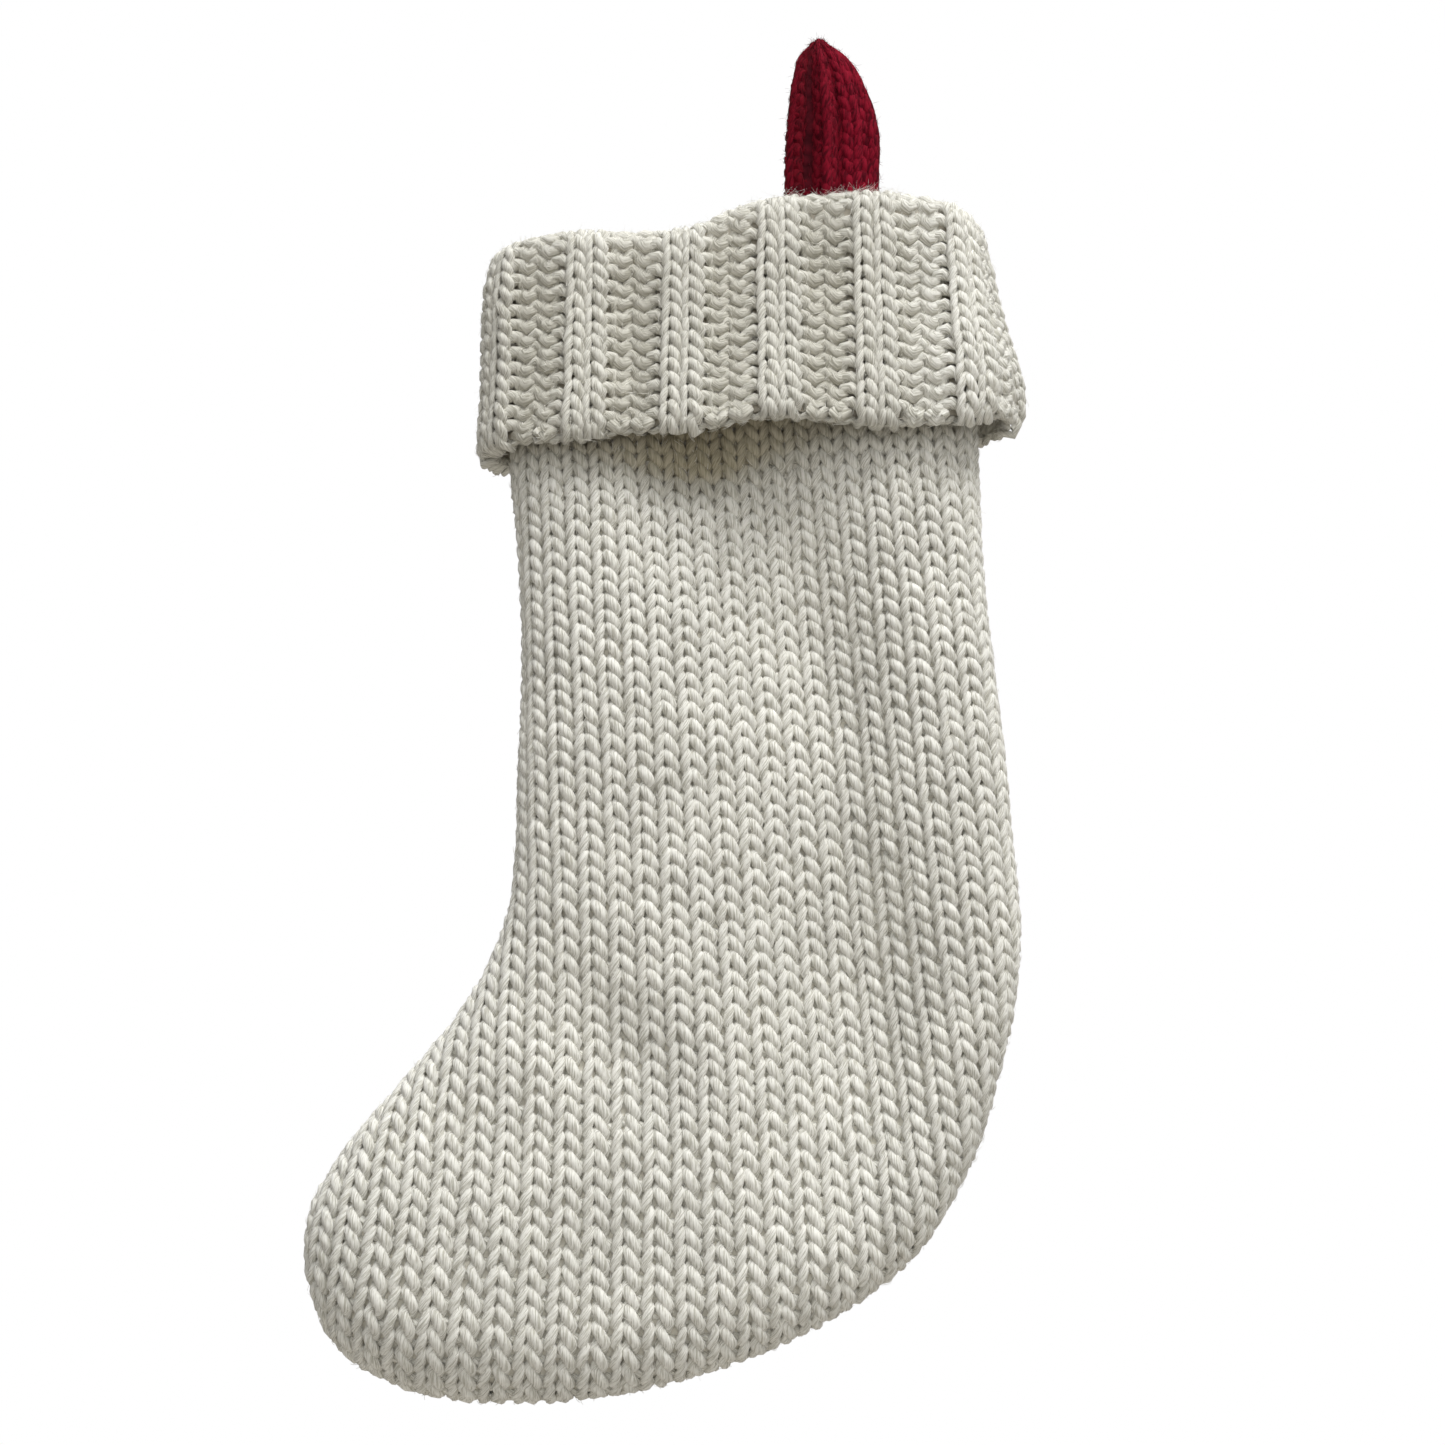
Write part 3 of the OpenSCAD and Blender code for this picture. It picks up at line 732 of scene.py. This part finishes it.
class Strap:
    """Surface of the strap, from its front tail over the hook to its back tail."""

    def __init__(self):
        line = strap_line()
        tangent = unit(np.gradient(line, axis=0))
        self.line = line
        self.normal = np.stack([-tangent[:, 1], tangent[:, 0]], 1)
        self.centre, self.half = along(STRAP_OUTLINE, line[:, 1] + 1.6)
        self.centre = self.centre - 2.2 * np.clip((line[:, 1] + 16) / 18, 0, 1) ** 2
        self.half = np.maximum(self.half - 1.5, 0.7)
        self.length = STRAP_STEP * (len(line) - 1)

    def at(self, share, up, out):
        """Places, normals and half widths: share runs from -1 to 1 across the strap, up in mm
        along it, out in mm from its middle surface. The edges curl in."""
        s = np.clip(up / STRAP_STEP, 0, len(self.line) - 1.001)
        i = s.astype(int)
        f = s - i

        def mix(a):
            w = f if a.ndim == 1 else f[:, None]
            return a[i] * (1 - w) + a[i + 1] * w
        line, normal = mix(self.line), unit(mix(self.normal))
        centre, half = mix(self.centre), mix(self.half)
        curl = np.clip((np.abs(share) - 0.78) / 0.22, 0, 1.6)
        x = centre + half * np.sign(share) * (np.minimum(np.abs(share), 0.78)
                                              + 0.22 * np.sin(np.minimum(curl, 1.5)))
        out = out - 2.4 * (1 - np.cos(np.minimum(curl, 1.6)))
        p = np.stack([x, line[:, 0] + normal[:, 0] * out, line[:, 1] + normal[:, 1] * out], 1)
        lean = np.sign(share) * np.sin(np.minimum(curl, 1.5))
        n = np.stack([lean, normal[:, 0] * np.cos(lean), normal[:, 1] * np.cos(lean)], 1)
        return p, unit(n), half


def strap_yarns():
    """Rows of the strap, drawn together where it narrows."""
    strap = Strap()
    yarns = Yarns()
    spots = halves(np.array(STRAP_WALES) * STRAP_HALF)
    faces = np.ones(len(STRAP_WALES) - 1)
    relief_share, relief = np.array(STRAP_RELIEF).T
    # Painted shade across the strap, scaled so that its darkest is a furrow's
    shade_share, shade = np.array(STRAP_SHADE).T * [[1], [FURROW]]
    for row in range(int(strap.length / STRAP_ROW)):
        _, across, up, out, radius, _ = course(spots, STRAP_ROW, faces, 0.2, 1.1, 0.15)
        height = 3 + row * STRAP_ROW + up
        share = across / STRAP_HALF
        half = strap.at(share, height, out)[2]
        squeeze = np.clip(half / 15, 0.4, 1)
        depth = np.interp(share, [0.1, 0.4], [0.1, 0.35]) * out
        depth = depth + np.interp(share, relief_share, relief) - 0.3
        p, n, _ = strap.at(share, height, depth * squeeze)
        yarns.add(p, n, 2.3 * radius * squeeze, recess=np.interp(share, shade_share, shade))
    return yarns.piece("strap_loop", crimson), strap


def strap_ground(strap):
    """Thin ground behind the strap's yarns, coloured darker than them as painted shade seen through
    their gaps.
    """
    share = np.linspace(-0.92, 0.92, 13)
    ups = np.arange(2, strap.length - 1, 2.0)
    skins = [np.array([strap.at(share, np.full_like(share, up), np.full_like(share, out))[0]
                       for up in ups]) for out in (-0.5, -1.4)]
    return sheet_between("strap_ground", skins[0][:, ::-1], skins[1][:, ::-1], red_ground_painted_shade)


# ---- seams ----
def wrapped_cord(name, path, core_r, wrap_r, pitch, normal=(0, -1, 0)):
    """A core with a yarn wound round it, as an overlocked or linked edge is."""
    yarns = Yarns()
    _, p = resample(path, 1.5)
    yarns.add(p, np.tile(np.array(normal, float), (len(p), 1)), core_r)
    s, p = resample(path, pitch / 9)
    tangent = unit(np.gradient(p, axis=0))
    side = np.tile(np.array(normal, float), (len(p), 1))
    across = unit(np.cross(tangent, side))
    up = np.cross(across, tangent)
    a = TAU * s / pitch
    wound = p + core_r * (np.cos(a)[:, None] * across + np.sin(a)[:, None] * up)
    yarns.add(wound, up, wrap_r, 6)
    return yarns.piece(name, seam_yarn)


def node_box(node):
    """Lowest and highest corner of a CAD node, in millimetres."""
    return [np.array(corner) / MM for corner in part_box(node)]


def closing_seam():
    """Runs just inside the panels' edges, all round the leg and foot."""
    flat = side_line[3:-3]
    ab = np.gradient(flat, axis=0)
    inward = unit(np.stack([-ab[:, 1], ab[:, 0]], 1))
    flat = flat + inward * (FABRIC_T + 2.9)
    path = np.stack([flat[:, 0], np.zeros(len(flat)), flat[:, 1]], 1)
    return wrapped_cord("closing_seam_yarn", path, 1.4, 0.6, 4.2)


def join_seam():
    """Runs round the mouth where the cuff band joins the leg."""
    w = np.linspace(0, 1, 90)
    off = -FABRIC_T - 1.6
    rings = []
    for side in (-1, 1):
        x, y, nx, ny, _, _ = band_station(w, side)
        ring = np.stack([x + nx * off, y + ny * off, np.full_like(x, JOIN_Z)], 1)
        rings.append(ring if side < 0 else ring[::-1])
    path = np.concatenate([rings[0], rings[1][1:-1]])
    return wrapped_cord("cuff_join_seam_yarn", path, 1.0, 0.45, 3.4, (0, 0, 1))


def side_seam(name, node):
    """Runs up inside one end of the cuff; the right one leans with its CAD solid."""
    low, high = node_box(node)
    z = np.linspace(low[2] + 1, high[2] - 1, 12)
    x = np.full_like(z, (low[0] + high[0]) / 2)
    if "right" in node:
        x = np.interp(z, [low[2], (low[2] + high[2]) / 2, high[2]],
                      [high[0] - 1.9, high[0] - 2.2, low[0] + 1.9])
    path = np.stack([x, np.zeros_like(z), z], 1)
    return wrapped_cord(name, path, 1.1, 0.5, 3.4)


def tack_stitches():
    """Two rows of slanting stitches that hold the strap's tails."""
    low, high = node_box("loop_tack_stitches")
    yarns = Yarns()
    columns, bar, lean = 4, 9.0, math.radians(25)
    half_h = bar / 2 * math.cos(lean)
    reach = bar / 2 * math.sin(lean)
    xs = np.linspace(low[0] + reach + 0.6, high[0] - reach - 0.6, columns)
    s = np.linspace(-1, 1, 11)
    for z in (high[2] - half_h - 0.3, low[2] + half_h + 0.3):
        for x in xs:
            y = (low[1] + high[1]) / 2 + 0.9 * np.abs(s) ** 6
            path = np.stack([x + s * reach, y, z + s * half_h], 1)
            yarns.add(path, np.tile([0.0, -1, 0], (11, 1)), 0.6 * (1 - 0.12 * np.cos(s * 9)))
    return yarns.piece("tack_stitch_threads", thread)


# ---- stray fibres ----
def fibres(pieces, name, count, material, length=(2, 4.5), thickness=0.075, stray=0.08, near=None,
           sway=(0, 0, 0)):
    """Fine closed hairs that lie along the yarns; the share called stray stands off them.
    near is a test of where they may be rooted, sway the way in which those tend to lie."""
    roots = np.concatenate([fibre_roots[piece.name] for piece in pieces])
    if near is not None:
        roots = roots[near(roots[:, :3])]
    root, out, way = np.split(roots[rng.integers(0, len(roots), count)], 3, axis=1)
    loose = rng.normal(0, 1, (2, count, 3))
    free = (rng.uniform(0, 1, count) < stray)[:, None]
    turn = rng.choice([-1, 1], count)[:, None]
    apart = loose[0] + 0.5 * out + turn * np.array(sway)
    way = unit(np.where(free, apart, turn * way + 0.22 * loose[0]))
    size = rng.uniform(*length, count)[:, None, None]
    steps = 5
    t = np.linspace(0, 1, steps)[None, :, None]
    bend = np.where(free, 0.5, 0.12)[:, None] * unit(loose[1])[:, None]
    hug = np.where(free, 0.0, 1.0)[:, None] * out[:, None]
    path = (root[:, None] + size * ((t - 0.5) * way[:, None] + t ** 2 * bend)
            + (0.03 + 0.3 * np.sin(math.pi * t)) * hug)
    tangent = unit(np.gradient(path, axis=1))
    across = unit(np.cross(tangent, np.array([0.31, 0.87, 0.38])))
    up = np.cross(across, tangent)
    sides = 3
    a = (np.arange(sides) * TAU / sides)[:, None]
    ring = np.cos(a) * across[:, :, None] + np.sin(a) * up[:, :, None]
    thin = thickness * np.where(free, 0.6, 1.0)[:, None] * (1 - 1.6 * (t - 0.5) ** 2)
    ring = ring * thin[..., None] + path[:, :, None]
    first = (np.arange(count) * steps * sides)[:, None, None]
    i = (np.arange(steps - 1) * sides)[None, :, None]
    k = np.arange(sides)[None, None]
    k2 = (k + 1) % sides
    quads = np.stack([first + i + k, first + i + sides + k, first + i + sides + k2, first + i + k2],
                     -1).reshape(-1, 4)
    ends = np.array([[0, 1, 2], [sides * steps - 1, sides * steps - 2, sides * steps - 3]])
    tris = (first + ends[None]).reshape(-1, 3)
    return new_piece(name, ring.reshape(-1, 3), quads, tris, material)


# ---- pieces ----
front_leg, front_foot = panel_yarns(-1, "front_knit")
back_leg, back_foot = panel_yarns(1, "back_knit")
front_ground = panel_ground(-1, "front_ground")
back_ground = panel_ground(1, "back_ground")
cuff_front, band_front = cuff_yarns(-1, "cuff_front_rib", 124.3)
cuff_back, band_back = cuff_yarns(1, "cuff_back_rib", 108.0)
cuff_front_ground = cuff_ground(band_front, "cuff_front_ground")
cuff_back_ground = cuff_ground(band_back, "cuff_back_ground")
strap_piece, strap_shape = strap_yarns()
strap_back = strap_ground(strap_shape)
seam = closing_seam()
join = join_seam()
seam_left = side_seam("cuff_seam_left_yarn", "cuff_seam_left")
seam_right = side_seam("cuff_seam_right_yarn", "cuff_seam_right")
tacks = tack_stitches()
leg_fuzz = fibres([front_leg], "front_leg_fibres", 7500, fibre_mat, (2, 4.5), 0.085, 0.12)
foot_fuzz = fibres([front_foot], "front_foot_fibres", 7500, fibre_mat, (2, 4.5), 0.085, 0.12)
back_fuzz = fibres([back_leg, back_foot], "back_fibres", 7500, fibre_mat)
cuff_fuzz = fibres([cuff_front], "cuff_front_fibres", 7500, fibre_mat, (2.5, 5.5), 0.1, 0.25)
cuff_back_fuzz = fibres([cuff_back], "cuff_back_fibres", 5000, fibre_mat, stray=0.35)
rim_fuzz = fibres([cuff_front], "rim_fibres", 500, fibre_mat, (4, 8), 0.055, 1.0,
                  lambda p: (np.abs(p[:, 0] - 2) < 24) & (p[:, 2] > -73) & (p[:, 1] < -12),
                  (3, 0, 0.6))
halo_fuzz = fibres([cuff_front], "cuff_halo_fibres", 5000, fibre_mat, (1.8, 3.6), 0.05, 1.0,
                   lambda p: (p[:, 2] > -92) | (p[:, 0] < -121) | (p[:, 0] > 56))
strap_fuzz = fibres([strap_piece], "strap_fibres", 7000, red_fibre, (2, 4.5), 0.07, 0.3,
                    lambda p: p[:, 2] > -76)
body_fuzz = [leg_fuzz, foot_fuzz, back_fuzz]

# ---- what rides on what ----
for piece, node in ((front_leg, "front_panel"), (back_leg, "back_panel"), (seam, "closing_seam"),
                    (cuff_front, "cuff_front"), (cuff_back, "cuff_back"),
                    (seam_left, "cuff_seam_left"), (seam_right, "cuff_seam_right"),
                    (join, "cuff_join_seam"), (tacks, "loop_tack_stitches")):
    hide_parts(node)
for piece in (front_leg, front_foot, back_leg, back_foot, front_ground, back_ground, cuff_front,
              cuff_back, cuff_front_ground, cuff_back_ground, seam, join, seam_left, seam_right,
              tacks, *body_fuzz, cuff_fuzz, cuff_back_fuzz, rim_fuzz, halo_fuzz):
    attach(piece, "stocking")
for piece in (strap_piece, strap_back, strap_fuzz):
    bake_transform(piece)
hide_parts("hang_loop", "loop_tails")


# ---- camera, floor and light ----
def look_at(thing, target):
    thing.rotation_euler = (Vector(target) - thing.location).to_track_quat("-Z", "Y").to_euler()


CAMERA_AIM = Vector((-0.0413, 0, -0.2758))
CAMERA_REACH = 0.7526
CAMERA_TILT = math.radians(-12)
camera = bpy.data.objects.new("camera", bpy.data.cameras.new("camera"))
bpy.context.scene.collection.objects.link(camera)
camera.location = CAMERA_AIM + CAMERA_REACH * Vector(
    (0, -math.cos(CAMERA_TILT), math.sin(CAMERA_TILT)))
look_at(camera, CAMERA_AIM)
camera.data.sensor_width = 36
camera.data.lens = 50
camera.data.clip_start = 0.01
camera.data.clip_end = 100
bpy.context.scene.camera = camera


def area_light(name, place, size, power):
    light = bpy.data.lights.new(name, "AREA")
    light.size = size
    light.energy = power
    lamp = bpy.data.objects.new(name, light)
    bpy.context.scene.collection.objects.link(lamp)
    lamp.location = place
    look_at(lamp, CAMERA_AIM)


area_light("key", (0.68, -1.22, 2.2), 1.4, 72)
area_light("front", (-0.2, -2.6, -0.1), 1.6, 6)
area_light("back", (-0.5, 2.1, 1.5), 1.3, 34)


def studio_world():
    """Soft light, strong from above right and weak from below left, with a plain white backdrop."""
    world = bpy.data.worlds.new("studio")
    world.use_nodes = True
    make = node_maker(world)
    light = world.node_tree.nodes["Background"]
    height = make("ShaderNodeVectorMath", {0: make("ShaderNodeTexCoord").outputs["Generated"],
                                           1: (0.5, -0.32, 0.8)}, operation="DOT_PRODUCT")
    power = make("ShaderNodeMapRange",
                 {0: height.outputs["Value"], 1: -0.77, 2: 1.0, 3: 0.0, 4: 0.76})
    world.node_tree.links.new(power.outputs[0], light.inputs["Strength"])
    light.inputs["Color"].default_value = (1, 1, 1, 1)
    backdrop = make("ShaderNodeBackground", {"Color": (1, 1, 1, 1), "Strength": 1.0})
    seen = make("ShaderNodeLightPath").outputs["Is Camera Ray"]
    both = make("ShaderNodeMixShader", {0: seen, 1: light.outputs[0], 2: backdrop.outputs[0]})
    out = world.node_tree.nodes["World Output"]
    world.node_tree.links.new(both.outputs[0], out.inputs["Surface"])
    return world


bpy.context.scene.world = studio_world()
bpy.context.scene.view_settings.view_transform = "Standard"

FLOOR_Z = -3.0
FLOOR_HALF = 12.0


def pale_floor():
    """Plain floor, which looks pale to the camera and gives little light back."""
    mesh = bpy.data.meshes.new("floor")
    corners = [(x * FLOOR_HALF, y * FLOOR_HALF, FLOOR_Z)
               for x, y in ((-1, -1), (1, -1), (1, 1), (-1, 1))]
    mesh.from_pydata(corners, [], [(0, 1, 2, 3)])
    floor = bpy.data.objects.new("floor", mesh)
    bpy.context.scene.collection.objects.link(floor)
    material = bpy.data.materials.new("floor")
    material.use_nodes = True
    make = node_maker(material)
    matt = make("ShaderNodeBsdfDiffuse", {"Color": (0.66, 0.62, 0.56, 1)})
    pale = make("ShaderNodeEmission", {"Color": (0.93, 0.93, 0.92, 1), "Strength": 1.0})
    seen = make("ShaderNodeLightPath").outputs["Is Camera Ray"]
    both = make("ShaderNodeMixShader", {0: seen, 1: matt.outputs[0], 2: pale.outputs[0]})
    out = material.node_tree.nodes["Material Output"]
    material.node_tree.links.new(both.outputs[0], out.inputs["Surface"])
    mesh.materials.append(material)
    return floor


pale_floor()
